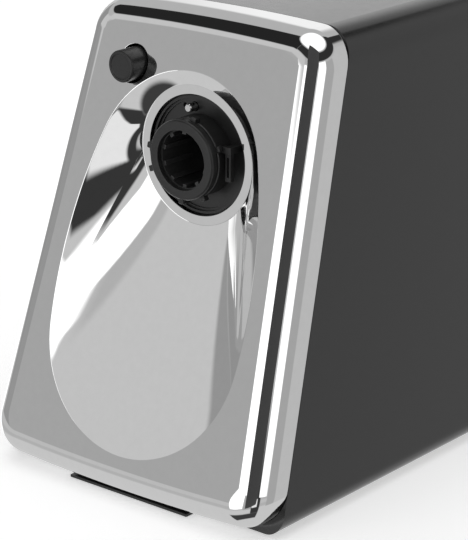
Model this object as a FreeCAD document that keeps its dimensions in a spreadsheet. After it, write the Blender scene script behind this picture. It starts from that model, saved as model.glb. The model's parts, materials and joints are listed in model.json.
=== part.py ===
"""Drive base of an electric meat grinder: motor, gear train, coupling socket and casing.

Millimetres, +Z up, front towards -Y, origin on the table under the middle of the body.
"""

import FreeCAD, Part
import math
import os
import Sketcher

os.makedirs("parts", exist_ok=True)
doc = FreeCAD.newDocument("grinder_drive_base")
sheet = doc.addObject("Spreadsheet::Sheet", "Sizes")
Vector = FreeCAD.Vector
Rotation = FreeCAD.Rotation


# ---------------------------------------------------------------- sizes
class Size:
    """A number together with the sheet expression that gives it."""

    def __init__(self, value, text):
        self.value = float(value)
        self.text = text

    def __add__(self, other):
        other = size(other)
        return Size(self.value + other.value, f"({self.text} + {other.text})")

    def __sub__(self, other):
        other = size(other)
        return Size(self.value - other.value, f"({self.text} - {other.text})")

    def __mul__(self, other):
        other = size(other)
        return Size(self.value * other.value, f"({self.text} * {other.text})")

    def __truediv__(self, other):
        other = size(other)
        return Size(self.value / other.value, f"({self.text} / {other.text})")

    def __neg__(self):
        return Size(-self.value, f"(0 - {self.text})")

    def __rtruediv__(self, other):
        return size(other) / self

    __radd__ = __add__
    __rmul__ = __mul__

    def __rsub__(self, other):
        return size(other) - self


def size(number):
    """Turn a plain number into a Size; a Size passes through."""
    if isinstance(number, Size):
        return number
    return Size(number, f"({float(number)})")


def tan(angle):
    return Size(math.tan(math.radians(angle.value)), f"tan({angle.text} * 1 deg)")


def cos(angle):
    return Size(math.cos(math.radians(angle.value)), f"cos({angle.text} * 1 deg)")


def sin(angle):
    return Size(math.sin(math.radians(angle.value)), f"sin({angle.text} * 1 deg)")


def root(number):
    return Size(math.sqrt(number.value), f"sqrt({number.text})")


DRIVING = {
    # casing
    "body_length": 260.0,
    "side_height": 229.3,
    "top_crown": 2.2,
    "base_half_width": 89.9,
    "side_slope": 4.21,
    "front_tilt": 17.64,
    "cover_foot": 2.0,
    "cover_bow": 2.6,
    "cover_depth": 20.2,
    "cover_edge": 14.0,
    "cover_corner": 19.0,
    "cover_wall": 2.5,
    "shell_foot": 1.4,
    "shell_wall": 2.8,
    "shell_top_edge": 17.0,
    "shell_low_edge": 9.0,
    "rear_edge": 14.0,
    "seam_gap": 0.4,
    # oval scoop in the front
    "scoop_low": 22.7,
    "scoop_half_width": 60.3,
    "scoop_low_radius": 59.5,
    "scoop_top_radius": 50.5,
    "scoop_side_radius": 250.0,
    "land_depth": 66.1,
    "land_radius": 34.9,
    "land_opening": 30.3,
    # coupling for the grinding head
    "hub_height": 161.9,
    "tube_reach": 12.0,
    "tube_radius": 19.9,
    "tube_mouth": 14.8,
    "tube_lip": 2.6,
    "socket_radius": 17.0,
    "socket_bore": 14.2,
    "spline_count": 10.0,
    "spline_height": 1.7,
    "spline_width": 2.2,
    "mount_flange": 36.0,
    "mount_thick": 4.0,
    "mount_collar": 19.4,
    "running_fit": 0.08,
    "clearance": 0.3,
    # release button and lock pin
    "button_across": 38.2,
    "button_height": 202.2,
    "button_radius": 8.0,
    "button_hole": 9.3,
    "button_reach": 9.4,
    "button_travel": 5.0,
    "pin_across": 4.2,
    "pin_height": 185.0,
    "pin_radius": 2.15,
    "link_thick": 2.4,
    # gear train
    "drive_module": 1.5,
    "drive_pinion_teeth": 12.0,
    "drive_gear_teeth": 66.0,
    "motor_module": 0.8,
    "motor_pinion_teeth": 12.0,
    "motor_gear_teeth": 84.0,
    "spring_solid": 3.1,
    "casing_wall": 3.0,
    "drive_width": 14.0,
    "motor_width": 8.0,
    "lay_pin_radius": 4.0,
    "journal_radius": 7.0,
    "hub_radius": 22.0,
    # motor
    "shaft_radius": 4.0,
    "bearing_radius": 9.5,
    "bearing_width": 6.0,
    "core_length": 50.0,
    "core_radius": 23.6,
    "air_gap": 0.7,
    "stator_radius": 42.0,
    "yoke_radius": 34.0,
    "pole_half_width": 14.0,
    "fan_radius": 34.5,
    "bolt_radius": 2.5,
    "bolt_across": 38.0,
    # base
    "plate_thick": 2.6,
    "ledge_thick": 2.8,
    "foot_radius": 9.0,
    "foot_inset": 14.0,
    "screw_radius": 1.8,
    "plate_inset": 13.9,
    "plate_front_inset": 25.5,
    "plate_back_inset": 12.5,
    "lip_half_width": 38.0,
    "lip_inset": 7.5,
    "lip_top": 1.9,
    "rim_width": 18.0,
    "foot_stem": 4.0,
    "tooth_thinning": 0.2,
    "joint_head": 40.0,
    "bracket_radius": 30.0,
    "bush_radius": 10.0,
    "commutator_radius": 12.5,
    "pinion_bore": 3.0,
    "lug_reach": 2.6,
    "pin_proud": 1.5,
    # switch and cord entry
    "switch_height": 120.0,
    "switch_y": 40.0,
    "switch_back_end": 17.0,
    "switch_half_width": 10.5,
    "axle_radius": 1.5,
    "axle_height": -2.0,
    "rocker_round": 40.0,
    "gland_radius": 7.0,
    "gland_proud": 3.0,
    "gland_across": 45.0,
    "gland_height": 28.0,
}
SIZES = {}
for row, (alias, number) in enumerate(DRIVING.items(), start=1):
    sheet.set(f"A{row}", alias)
    sheet.set(f"B{row}", str(number))
    sheet.setAlias(f"B{row}", alias)
    SIZES[alias] = Size(number, f"Sizes.{alias}")
doc.recompute()


def dim(alias):
    return SIZES[alias]


fit = dim("clearance")
run_fit = dim("running_fit")
wall = dim("shell_wall")
# The cord entry stands proud of the back wall, so the body sits a little forward of the origin.
front_end = (dim("body_length") + dim("gland_proud")) / 2
back_end = (dim("body_length") - dim("gland_proud")) / 2
tilt = dim("front_tilt")
slope = tan(dim("side_slope"))
foot = dim("cover_foot")
edge = dim("cover_edge")
top = dim("side_height")
hub_z = dim("hub_height")

# Outline of the base plate and the places of the feet, each set in from the body or the plate.
plate_across = dim("base_half_width") - dim("plate_inset")
plate_front = dim("plate_front_inset") - front_end
plate_back = back_end - dim("plate_back_inset")
lip_front = dim("lip_inset") - front_end
foot_across = plate_across - dim("foot_inset") + 2
foot_front = plate_front + dim("foot_inset")
foot_back = plate_back - dim("foot_inset") - 4

# The rounded foot of the cover reaches the front of the body; its flat face starts ahead of that.
front_foot = -front_end - edge * (tan(tilt) + 1 / cos(tilt) - 1)
land_y = front_foot + dim("land_depth")


def front_y(height):
    """Where the flat tilted front lies at this height."""
    return front_foot + (height - foot) * tan(tilt)


def side_x(height, inset):
    """Half the width of the body at this height, drawn in by inset."""
    return dim("base_half_width") - (height - foot) * slope - inset


# ---------------------------------------------------------------- drawing
FRONTAL = Rotation(Vector(1, 0, 0), 90)      # sketch x, y -> X, Z
SIDEWAYS = Rotation(Vector(1, 1, 1), 120)    # sketch x, y -> Y, Z
REARWARD = Rotation(Vector(1, 0, 0), -90)    # local Z -> Y
LEFTWARD = Rotation(Vector(0, 1, 0), -90)    # local Z -> -X
SIDE_STYLE = "Symmetric"


def bind(item, path, amount):
    item.setExpression(path, size(amount).text)


def place(item, x=0, y=0, z=0, rotation=None, angle=None):
    """Put an item at x, y, z; angle, if given, drives the turn about the rotation's axis."""
    turn = rotation or Rotation()
    item.Placement = FreeCAD.Placement(Vector(size(x).value, size(y).value, size(z).value), turn)
    for axis, amount in (("x", x), ("y", y), ("z", z)):
        bind(item, f"Placement.Base.{axis}", amount)
    if angle is not None:
        bind(item, "Placement.Rotation.Angle", angle)
    return item


def fix_point(sketch, edge_id, end, corner, name):
    """Hold one end of an edge at a corner whose coordinates follow the sheet."""
    for axis, amount in zip(("X", "Y"), corner):
        amount = size(amount)
        if amount.text == "(0.0)":
            line = -2 if axis == "X" else -1
            sketch.addConstraint(Sketcher.Constraint("PointOnObject", edge_id, end, line))
            continue
        label = f"{name}_{axis}"
        index = sketch.addConstraint(
            Sketcher.Constraint(f"Distance{axis}", edge_id, end, amount.value)
        )
        sketch.renameConstraint(index, label)
        bind(sketch, f"Constraints.{label}", amount)


def minor_arc(start, end, radius):
    """Arc of this radius that runs anticlockwise from start to end."""
    chord = end - start
    rise = math.sqrt(radius**2 - (chord.Length / 2) ** 2)
    left = Vector(-chord.y, chord.x, 0).normalize()
    centre = (start + end) / 2 + left * rise
    first = math.atan2(start.y - centre.y, start.x - centre.x)
    last = math.atan2(end.y - centre.y, end.x - centre.x)
    return Part.ArcOfCircle(Part.Circle(centre, Vector(0, 0, 1), radius), first, last)


def loop(sketch, corners, bulges=None, tag="p"):
    """Close a loop, anticlockwise, through the corners; an edge in bulges is an arc of that radius."""
    bulges = bulges or {}
    points = [Vector(size(x).value, size(y).value, 0) for x, y in corners]
    ids = []
    for number, start in enumerate(points):
        end = points[(number + 1) % len(points)]
        if number in bulges:
            shape = minor_arc(start, end, bulges[number].value)
        else:
            shape = Part.LineSegment(start, end)
        ids.append(sketch.addGeometry(shape, False))
    for number, edge_id in enumerate(ids):
        after = ids[(number + 1) % len(ids)]
        sketch.addConstraint(Sketcher.Constraint("Coincident", edge_id, 2, after, 1))
    for number, edge_id in enumerate(ids):
        fix_point(sketch, edge_id, 1, corners[number], f"{tag}{number}")
        if number in bulges:
            index = sketch.addConstraint(
                Sketcher.Constraint("Radius", edge_id, bulges[number].value)
            )
            sketch.renameConstraint(index, f"{tag}{number}_bulge")
            bind(sketch, f"Constraints.{tag}{number}_bulge", bulges[number])
    return sketch


def ring(sketch, centre, radius, tag="c"):
    """Circle about a centre, both from the sheet."""
    middle = Vector(size(centre[0]).value, size(centre[1]).value, 0)
    circle = Part.Circle(middle, Vector(0, 0, 1), size(radius).value)
    circle_id = sketch.addGeometry(circle, False)
    fix_point(sketch, circle_id, 3, centre, tag)
    index = sketch.addConstraint(Sketcher.Constraint("Radius", circle_id, size(radius).value))
    sketch.renameConstraint(index, f"{tag}_radius")
    bind(sketch, f"Constraints.{tag}_radius", radius)
    return sketch


def rectangle(x0, x1, y0, y1):
    return [(x0, y0), (x1, y0), (x1, y1), (x0, y1)]


# ---------------------------------------------------------------- building blocks
def new_body(name):
    return doc.addObject("PartDesign::Body", name)


def body_sketch(body, plane, offset=0):
    """Sketch on one of the body's own planes, shifted along the plane's normal."""
    flat = next(item for item in body.Origin.OriginFeatures if item.Role == plane)
    sketch = body.newObject("Sketcher::SketchObject", f"{body.Name}_sketch")
    sketch.AttachmentSupport = [(flat, "")]
    sketch.MapMode = "FlatFace"
    bind(sketch, "AttachmentOffset.Base.z", offset)
    return sketch


def pad(body, sketch, length, both=False):
    feature = body.newObject("PartDesign::Pad", f"{body.Name}_pad")
    feature.Profile = sketch
    if both:
        feature.SideType = SIDE_STYLE
    bind(feature, "Length", length)
    doc.recompute()
    return feature


def pocket(body, sketch, length, both=False, reverse=False):
    before = body.Shape.Volume
    feature = body.newObject("PartDesign::Pocket", f"{body.Name}_pocket")
    feature.Profile = sketch
    feature.Reversed = reverse
    if both:
        feature.SideType = SIDE_STYLE
    bind(feature, "Length", length)
    doc.recompute()
    if body.Shape.Volume > before - 0.01:
        raise RuntimeError(f"{feature.Name} cuts nothing")
    return feature


def repeat(body, feature, count):
    """Repeat a feature round the body's Z axis."""
    pattern = body.newObject("PartDesign::PolarPattern", f"{body.Name}_pattern")
    pattern.Originals = [feature]
    axis = next(item for item in body.Origin.OriginFeatures if item.Role == "Z_Axis")
    pattern.Axis = (axis, [""])
    pattern.Angle = 360
    bind(pattern, "Occurrences", count)
    body.Tip = pattern
    doc.recompute()
    return pattern


def turned(name, profile):
    """Body turned about its own Z axis from a half section of (radius, distance along Z)."""
    body = new_body(name)
    sketch = loop(body_sketch(body, "XZ_Plane"), profile)
    feature = body.newObject("PartDesign::Revolution", f"{name}_turn")
    feature.Profile = sketch
    feature.ReferenceAxis = (sketch, ["V_Axis"])
    feature.Angle = 360
    doc.recompute()
    return body


def round_edges(body, radius, chosen, kind="Fillet"):
    """Round or bevel the edges that chosen() picks."""
    base = body.Tip
    names = [f"Edge{n}" for n, one in enumerate(base.Shape.Edges, start=1) if chosen(one)]
    if not names:
        raise RuntimeError(f"{body.Name} has no such edges")
    feature = body.newObject(f"PartDesign::{kind}", f"{body.Name}_{kind.lower()}")
    feature.Base = (base, names)
    bind(feature, "Radius" if kind == "Fillet" else "Size", radius)
    doc.recompute()
    return feature


def box(name, x0, x1, y0, y1, z0, z1):
    """Box between two corners."""
    item = doc.addObject("Part::Box", name)
    for side, low, high in (("Length", x0, x1), ("Width", y0, y1), ("Height", z0, z1)):
        bind(item, side, size(high) - size(low))
    return place(item, x0, y0, z0)


def rod(name, radius, y0, y1, x=0, z=0):
    """Cylinder that runs rearwards from y0 to y1."""
    item = doc.addObject("Part::Cylinder", name)
    bind(item, "Radius", radius)
    bind(item, "Height", size(y1) - size(y0))
    return place(item, x, y0, z, REARWARD)


def post(name, radius, x, y, z0, z1):
    """Upright cylinder."""
    item = doc.addObject("Part::Cylinder", name)
    bind(item, "Radius", radius)
    bind(item, "Height", size(z1) - size(z0))
    return place(item, x, y, z0)


def cross(name, radius, x0, x1, y, z):
    """Cylinder that runs from x0 across to x1."""
    item = doc.addObject("Part::Cylinder", name)
    bind(item, "Radius", radius)
    bind(item, "Height", size(x1) - size(x0))
    return place(item, x0, y, z, Rotation(Vector(0, 1, 0), 90))


def fuse(name, pieces):
    if len(pieces) == 1:
        return pieces[0]
    item = doc.addObject("Part::MultiFuse", name)
    item.Shapes = pieces
    return item


def cut(name, base, tools):
    item = doc.addObject("Part::Cut", name)
    item.Base = base
    item.Tool = fuse(f"{name}_tools", tools)
    return item


def common(name, first, second):
    item = doc.addObject("Part::Common", name)
    item.Base = first
    item.Tool = second
    return item


def group(name, pieces):
    """Several separate solids kept as one sub-part."""
    item = doc.addObject("Part::Compound", name)
    item.Links = pieces
    return item


NODES = []


def node(item, label):
    """Give a finished sub-part the name that its file takes."""
    item.Label = label
    NODES.append(item)
    return item


# ---------------------------------------------------------------- casing shapes
def section(sketch, inset, low, bow):
    """Front view of the body: leaning sides, a crowned top and a foot that may bow down."""
    low = size(low)
    high = top - inset
    low_x = side_x(low, inset)
    high_x = side_x(high, inset)
    crown = dim("top_crown")
    bulges = {2: (high_x * high_x + crown * crown) / (2 * crown)}
    if bow is not None:
        bulges[0] = (low_x * low_x + bow * bow) / (2 * bow)
    corners = [(-low_x, low), (low_x, low), (high_x, high), (-high_x, high)]
    return loop(sketch, corners, bulges)


def casing_block(name, inset, low, bow, low_round, high_round, ahead, back, lean):
    """Solid of the body's section between its tilted front, moved back by ahead, and its back.

    The back is a flat at y = back, or parallel to the front and moved by back where lean is set.
    """
    body = new_body(name)
    pad(body, section(body_sketch(body, "XZ_Plane"), inset, low, bow), dim("body_length") * 2, True)
    lengthways = [one for one in body.Shape.Edges if abs(one.BoundBox.YLength) > 10]
    middle = (min(one.BoundBox.ZMin for one in lengthways) + top.value) / 2
    for radius, upper in ((low_round, False), (high_round, True)):
        round_edges(
            body,
            radius,
            lambda one: one.BoundBox.YLength > 10 and (one.BoundBox.ZMin > middle) == upper,
        )
    below, above = size(-30), size(300)
    far = dim("body_length") * 1.5
    trim = body_sketch(body, "YZ_Plane")
    front = [(-far, below), (front_y(below) + ahead, below), (front_y(above) + ahead, above), (-far, above)]
    loop(trim, front, tag="front")
    low_back = front_y(below) + back if lean else back
    high_back = front_y(above) + back if lean else back
    loop(trim, [(low_back, below), (far, below), (far, above), (high_back, above)], tag="back")
    pocket(body, trim, 400, both=True)
    return body


def on_front(one, ahead):
    """Whether an edge lies in the tilted front, moved back by ahead."""
    points = [vertex.Point for vertex in one.Vertexes] + [one.valueAt(one.FirstParameter)]
    return all(abs(p.y - (front_y(size(p.z)) + ahead).value) < 0.01 for p in points)


def on_back(one, back):
    return one.BoundBox.YMin > back.value - 0.01


def oval_sketch(name, grow, back):
    """The scoop's outline, parallel to the front: two round ends joined by long side arcs."""
    low_r, top_r, side_r = (dim(f"scoop_{part}_radius") for part in ("low", "top", "side"))
    away = side_r - dim("scoop_half_width")
    low_z = dim("scoop_low") + low_r
    side_z = low_z + root((side_r - low_r) * (side_r - low_r) - away * away)
    top_z = side_z + root((side_r - top_r) * (side_r - top_r) - away * away)
    low_turn = (away / (side_r - low_r), (low_z - side_z) / (side_r - low_r))
    top_turn = (away / (side_r - top_r), (top_z - side_z) / (side_r - top_r))

    def corner(turn, centre, radius, side):
        return (turn[0] * (radius + grow) * side, centre + turn[1] * (radius + grow))

    corners = [
        corner(low_turn, low_z, low_r, 1),
        corner(top_turn, top_z, top_r, 1),
        corner(top_turn, top_z, top_r, -1),
        corner(low_turn, low_z, low_r, -1),
    ]
    sketch = doc.addObject("Sketcher::SketchObject", f"{name}_oval")
    loop(sketch, corners, {0: side_r + grow, 1: top_r + grow, 2: side_r + grow, 3: low_r + grow})
    place(sketch, 0, front_foot + back, foot, Rotation(Vector(1, 0, 0), 90 - tilt.value), 90 - tilt)
    return sketch, low_turn, top_turn


def scoop(name, grow, back, land_back):
    """Ruled hollow from the oval in the front to the round land at the hub."""
    oval, low_turn, top_turn = oval_sketch(name, grow, back)
    radius = dim("land_radius") + grow
    circle = doc.addObject("Sketcher::SketchObject", f"{name}_circle")
    corners = [
        (turn[0] * radius * side, turn[1] * radius)
        for turn, side in ((low_turn, 1), (top_turn, 1), (top_turn, -1), (low_turn, -1))
    ]
    loop(circle, corners, {n: radius for n in range(4)})
    place(circle, 0, land_y + land_back, hub_z, FRONTAL)
    loft = doc.addObject("Part::Loft", name)
    loft.Sections = [oval, circle]
    loft.Solid = True
    loft.Ruled = True
    return loft


def at(depth):
    """Distance along Y of a place this far behind the land."""
    return land_y + depth


ledge_top = dim("shell_foot") + dim("plate_thick") + dim("ledge_thick")


def make_front_cover():
    """Chromed front shell with the scoop, the round land and the holes for hub and button."""
    skin = dim("cover_wall")
    outer = casing_block(
        "cover_outer", 0, foot + dim("cover_bow"), dim("cover_bow"),
        dim("cover_corner"), dim("cover_corner"), 0, dim("cover_depth"), True,
    )
    round_edges(outer, edge, lambda one: on_front(one, 0))
    inner = casing_block(
        "cover_inner", skin, foot + dim("cover_bow") + skin, dim("cover_bow"),
        dim("cover_corner") - skin, dim("cover_corner") - skin,
        skin / cos(tilt), dim("cover_depth") + 10, True,
    )
    round_edges(inner, edge - skin, lambda one: on_front(one, skin / cos(tilt)))
    shell = cut("cover_shell", outer, [inner])
    backing = scoop("scoop_backing", skin, skin / 2, skin)
    button_x, button_z = -dim("button_across"), dim("button_height")
    guide_end = at(mount_back)
    posts, bores = [], []
    for side in (-1, 1):
        for spot, height in cover_boss_heights():
            across = cover_boss_x(height) * side
            start = front_y(height) + skin / 2
            end = front_y(height) + dim("cover_depth") + dim("seam_gap") - 4 * tan(tilt)
            posts.append(rod(f"cover_boss_{spot}_{side + 1}", 4, start, end, across, height))
            bores.append(rod(f"cover_bore_{spot}_{side + 1}", dim("screw_radius"),
                             cover_screw_y(height) - 14.5, end + 1, across, height))
    posts.append(rod("button_guide", dim("button_hole") + 2, front_y(button_z) + 2, guide_end, button_x, button_z))
    solid = fuse("cover_solid", [shell, backing] + posts)
    hollow = scoop("scoop_hollow", 0, 0, 0)
    mouth = rod("land_hole", dim("land_opening"), at(-5), at(skin + 5), 0, hub_z)
    button = rod("button_hole_cut", dim("button_hole"), at(-30), front_y(button_z) + 2 * skin, button_x, button_z)
    guide = rod("button_guide_bore", dim("button_radius") + run_fit, at(-30), guide_end + 1, button_x, button_z)
    return node(cut("front_cover_cut", solid, [hollow, mouth, button, guide] + bores), "front_cover")



drive_centres = dim("drive_module") * (dim("drive_pinion_teeth") + dim("drive_gear_teeth")) / 2
motor_centres = dim("motor_module") * (dim("motor_pinion_teeth") + dim("motor_gear_teeth")) / 2
lay_z = hub_z - drive_centres
motor_z = lay_z - motor_centres

# Depths behind the land of the gear train and the motor, each from the piece in front of it.
mount_back = dim("cover_wall") + dim("mount_thick")
link_front = mount_back + 1
link_back = link_front + dim("link_thick")
casing_front = link_back + dim("button_travel") + dim("spring_solid")
gear_front = casing_front + dim("casing_wall") + 0.5
gear_back = gear_front + dim("drive_width")
casing_split = gear_back + 1
motor_gear_front = casing_split + 1
motor_gear_back = motor_gear_front + dim("motor_width")
casing_plate = motor_gear_back + 2
casing_back = casing_plate + dim("casing_wall") + 1
fan_front = casing_back + 4
fan_back = fan_front + 10
core_front = fan_back + 6
core_back = core_front + dim("core_length")
commutator_front = core_back + 8
commutator_back = commutator_front + 14
gear_slab = casing_front + 12
bracket_front = commutator_back + 4
bracket_back = bracket_front + 8
bracket_seat = bracket_front + 4
coil_overhang = 7


def make_housings():
    """Left and right black half shells that meet on the middle plane."""
    open_front = dim("cover_depth") + dim("seam_gap")
    low, high = dim("shell_low_edge"), dim("shell_top_edge")
    outer = casing_block(
        "shell_outer", 0, dim("shell_foot"), None, low, high, open_front, back_end, False,
    )
    round_edges(outer, dim("rear_edge"), lambda one: on_back(one, back_end))
    inner = casing_block(
        "shell_inner", wall, ledge_top, None, low - wall, high - wall,
        open_front - 6, back_end - wall, False,
    )
    round_edges(inner, dim("rear_edge") - wall, lambda one: on_back(one, back_end - wall))
    shell = cut("shell_walls", outer, [inner])

    inset = wall - 0.5
    rim = casing_block(
        "rim_outer", inset, ledge_top - 0.5, None, low - inset, high - inset,
        open_front, open_front + wall, True,
    )
    rim_hole = casing_block(
        "rim_hole", dim("rim_width"), dim("rim_width"), None, low, high,
        open_front - 10, open_front + 10, True,
    )
    rim_frame = cut("rim_frame", rim, [rim_hole])

    plug = casing_block(
        "cavity_plug", inset, ledge_top - 0.5, None, low - inset, high - inset,
        open_front, back_end - 20, False,
    )
    far = dim("base_half_width") + 10
    slabs = [
        box("gear_slab", -far, far, at(gear_slab), at(gear_slab + wall), 0, 260),
        box("motor_slab", -far, far, at(bracket_seat), at(bracket_seat + wall), 0, 260),
    ]
    bulkheads = common("bulkhead_block", plug, fuse("slabs", slabs))
    hollows = casing_shapes("bulkhead", fit, at(0), at(bracket_front - 4))
    hollows.append(rod("bracket_room", dim("bracket_radius") - 5, at(0), back_end, 0, motor_z))
    for side in (-1, 1):
        hollows.append(
            rod(f"bolt_head_room_{side + 1}", dim("bolt_radius") + 1.8 + fit, at(bracket_front),
                back_end - 20, side * dim("bolt_across"), motor_z)
        )
    air_low = motor_z + dim("bracket_radius") + 14
    hollows.append(
        box("air_room", -55, 55, at(bracket_front - 2), at(bracket_back), air_low, air_low + 60)
    )
    frames = cut("inner_frames", fuse("frame_blocks", [rim_frame, bulkheads]), hollows)

    bosses = []
    for number, (y, z) in enumerate(joint_places()):
        reach = side_x(size(z), 1)
        bosses.append(cross(f"joint_boss_{number}", 4.5, -reach, reach, y, z))
    solid = fuse("shell_solid", [shell, frames] + bosses)

    across = plate_across
    cuts = [
        box(
            "plate_recess", -across - fit, across + fit, plate_front - fit,
            plate_back + fit, 0, dim("shell_foot") + dim("plate_thick"),
        ),
        box(
            "floor_opening", -across + 7, across - 7, plate_front + 8,
            plate_back - 8, 0, ledge_top + 0.1,
        ),
        box("lip_notch", -dim("lip_half_width") - fit, dim("lip_half_width") + fit,
            -front_end, plate_front + 1, 0, dim("lip_top") + fit),
    ]
    for number, (x, y) in enumerate(base_screw_places()):
        cuts.append(post(f"ledge_hole_{number}", dim("screw_radius"), x, y, 0, ledge_top + 1))
    for number, (y, z) in enumerate(joint_places()):
        reach = side_x(size(z), 0)
        cuts.append(cross(f"joint_bore_{number}", dim("screw_radius"), -reach - 5, 16, y, z))
        cuts.append(cross(f"joint_sink_{number}", 3.6, -reach - 5, -dim("joint_head"), y, z))
    for column in (-1, 1):
        for line in range(8):
            middle = column * 24
            z = 62 + 9 * line
            cuts.append(
                box(f"rear_slot_{column + 1}_{line}", middle - 16, middle + 16,
                    back_end - wall - 1, back_end + 1, z, z + 3.5)
            )
    cuts.append(switch_hole())
    cuts.append(rod("gland_hole", dim("gland_radius"), back_end - 10, back_end + 5,
                    dim("gland_across"), dim("gland_height")))
    for side in (-1, 1):
        for spot, height in cover_boss_heights():
            cuts.append(
                rod(f"rim_hole_{spot}_{side + 1}", dim("screw_radius"), -front_end, at(60),
                    cover_boss_x(height) * side, height)
            )
    solid = cut("shell_finished", solid, cuts)
    for label, x0, x1 in (("left_housing", -far, 0), ("right_housing", 0, far)):
        half = box(f"{label}_half", x0, x1, -front_end - 20, back_end + 20, -5, 300)
        node(common(f"{label}_part", solid, half), label)


def casing_shapes(name, grow, y0, y1):
    """Overlapping cylinders and a web that together outline the gear casing."""
    radii = casing_radii()
    pieces = []
    for tag, height, radius in radii:
        pieces.append(rod(f"{name}_{tag}", radius + grow, y0, y1, 0, height))
    web = radii[1][2] + grow
    pieces.append(box(f"{name}_web", -web, web, y0, y1, lay_z, hub_z))
    return pieces


def casing_radii():
    skin = dim("casing_wall")
    drive_tip = dim("drive_module") * (dim("drive_gear_teeth") / 2 + 1)
    motor_tip = dim("motor_module") * (dim("motor_gear_teeth") / 2 + 1)
    return (
        ("hub", hub_z, drive_tip + 1 + skin),
        ("lay", lay_z, motor_tip + 1 + skin),
        ("motor", motor_z, dim("bearing_radius") + 1 + skin),
    )


def cover_boss_heights():
    return (("low", size(26)), ("high", hub_z + 42))


def cover_boss_x(height):
    return side_x(height, 0) - edge - 3


def cover_screw_y(height):
    """Where the head of a cover screw seats behind the rim of the half shells."""
    return front_y(height) + dim("cover_depth") + dim("seam_gap") + wall + 4 * tan(tilt)


def joint_places():
    """Y and Z of the screws that hold the two half shells together."""
    return ((14, 212), (104, 212), (112, 24), (18, 13.5))


def base_screw_places():
    across = foot_across
    return [(side * across, y) for side in (-1, 1) for y in (-60, 70)]


def foot_places():
    return [
        (f"{where}_{hand}", side * foot_across, y)
        for where, y in (("front", foot_front), ("back", foot_back))
        for hand, side in (("left", -1), ("right", 1))
    ]


def make_base():
    """Base plate with its front lip and cooling slots, four feet and their screws."""
    across = plate_across
    low, high = dim("shell_foot"), dim("shell_foot") + dim("plate_thick")
    plate = box("plate_blank", -across, across, plate_front, plate_back, low, high)
    lip = box("plate_lip", -dim("lip_half_width"), dim("lip_half_width"),
              lip_front, plate_front + 4, low - 0.8, dim("lip_top"))
    cuts = []
    for number in range(9):
        y = -30 + 9 * number
        cuts.append(box(f"floor_slot_{number}", -32, 32, y, y + 3.5, 0, high + 1))
    for name, x, y in foot_places():
        cuts.append(post(f"foot_hole_{name}", dim("foot_stem"), x, y, 0, high + 1))
    for number, (x, y) in enumerate(base_screw_places()):
        cuts.append(post(f"plate_hole_{number}", dim("screw_radius") + 0.2, x, y, 0, high + 1))
        cuts.append(post(f"plate_sink_{number}", 3.6, x, y, 0, low + 1.2))
    node(cut("base_plate_cut", fuse("plate_solid", [plate, lip]), cuts), "base_plate")

    for name, x, y in foot_places():
        foot_body = turned(
            f"foot_{name}_body",
            [(0, 0), (dim("foot_radius") - 0.8, 0), (dim("foot_radius"), 0.8),
             (dim("foot_radius"), low), (dim("foot_stem"), low), (dim("foot_stem"), high),
             (dim("foot_stem") + 0.6, high), (dim("foot_stem") - 0.8, high + 2), (0, high + 2)],
        )
        node(place(foot_body, x, y, 0), f"foot_{name}")

    screws = []
    for number, (x, y) in enumerate(base_screw_places()):
        screws.append(screw(f"base_screw_{number}", x, y, low + 1.2, 5, Rotation(Vector(1, 0, 0), 180)))
    node(group("base_screw_set", screws), "base_screws")


def screw(name, x, y, z, length, rotation):
    """Pan head screw; the underside of its head is at x, y, z and its head faces local +Z."""
    shank = dim("screw_radius")
    body = turned(
        name,
        [(0, -size(length)), (shank - 0.5, -size(length)), (shank, -size(length) + 0.8), (shank, 0),
         (3.2, 0), (3.2, 0.7), (2.2, 1.8), (0.9, 1.8), (0.9, 0.7), (0, 0.7)],
    )
    return place(body, x, y, z, rotation)


def make_case_screws():
    """Screws of the half shells and of the front cover."""
    screws = []
    for number, (y, z) in enumerate(joint_places()):
        screws.append(screw(f"joint_screw_{number}", -dim("joint_head"), y, z, 55, LEFTWARD))
    node(group("housing_screw_set", screws), "housing_screws")
    screws = []
    for side in (-1, 1):
        for spot, height in cover_boss_heights():
            screws.append(screw(f"cover_screw_{spot}_{side + 1}", cover_boss_x(height) * side,
                                cover_screw_y(height), height, 14, REARWARD))
    node(group("cover_screw_set", screws), "cover_screws")


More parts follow.
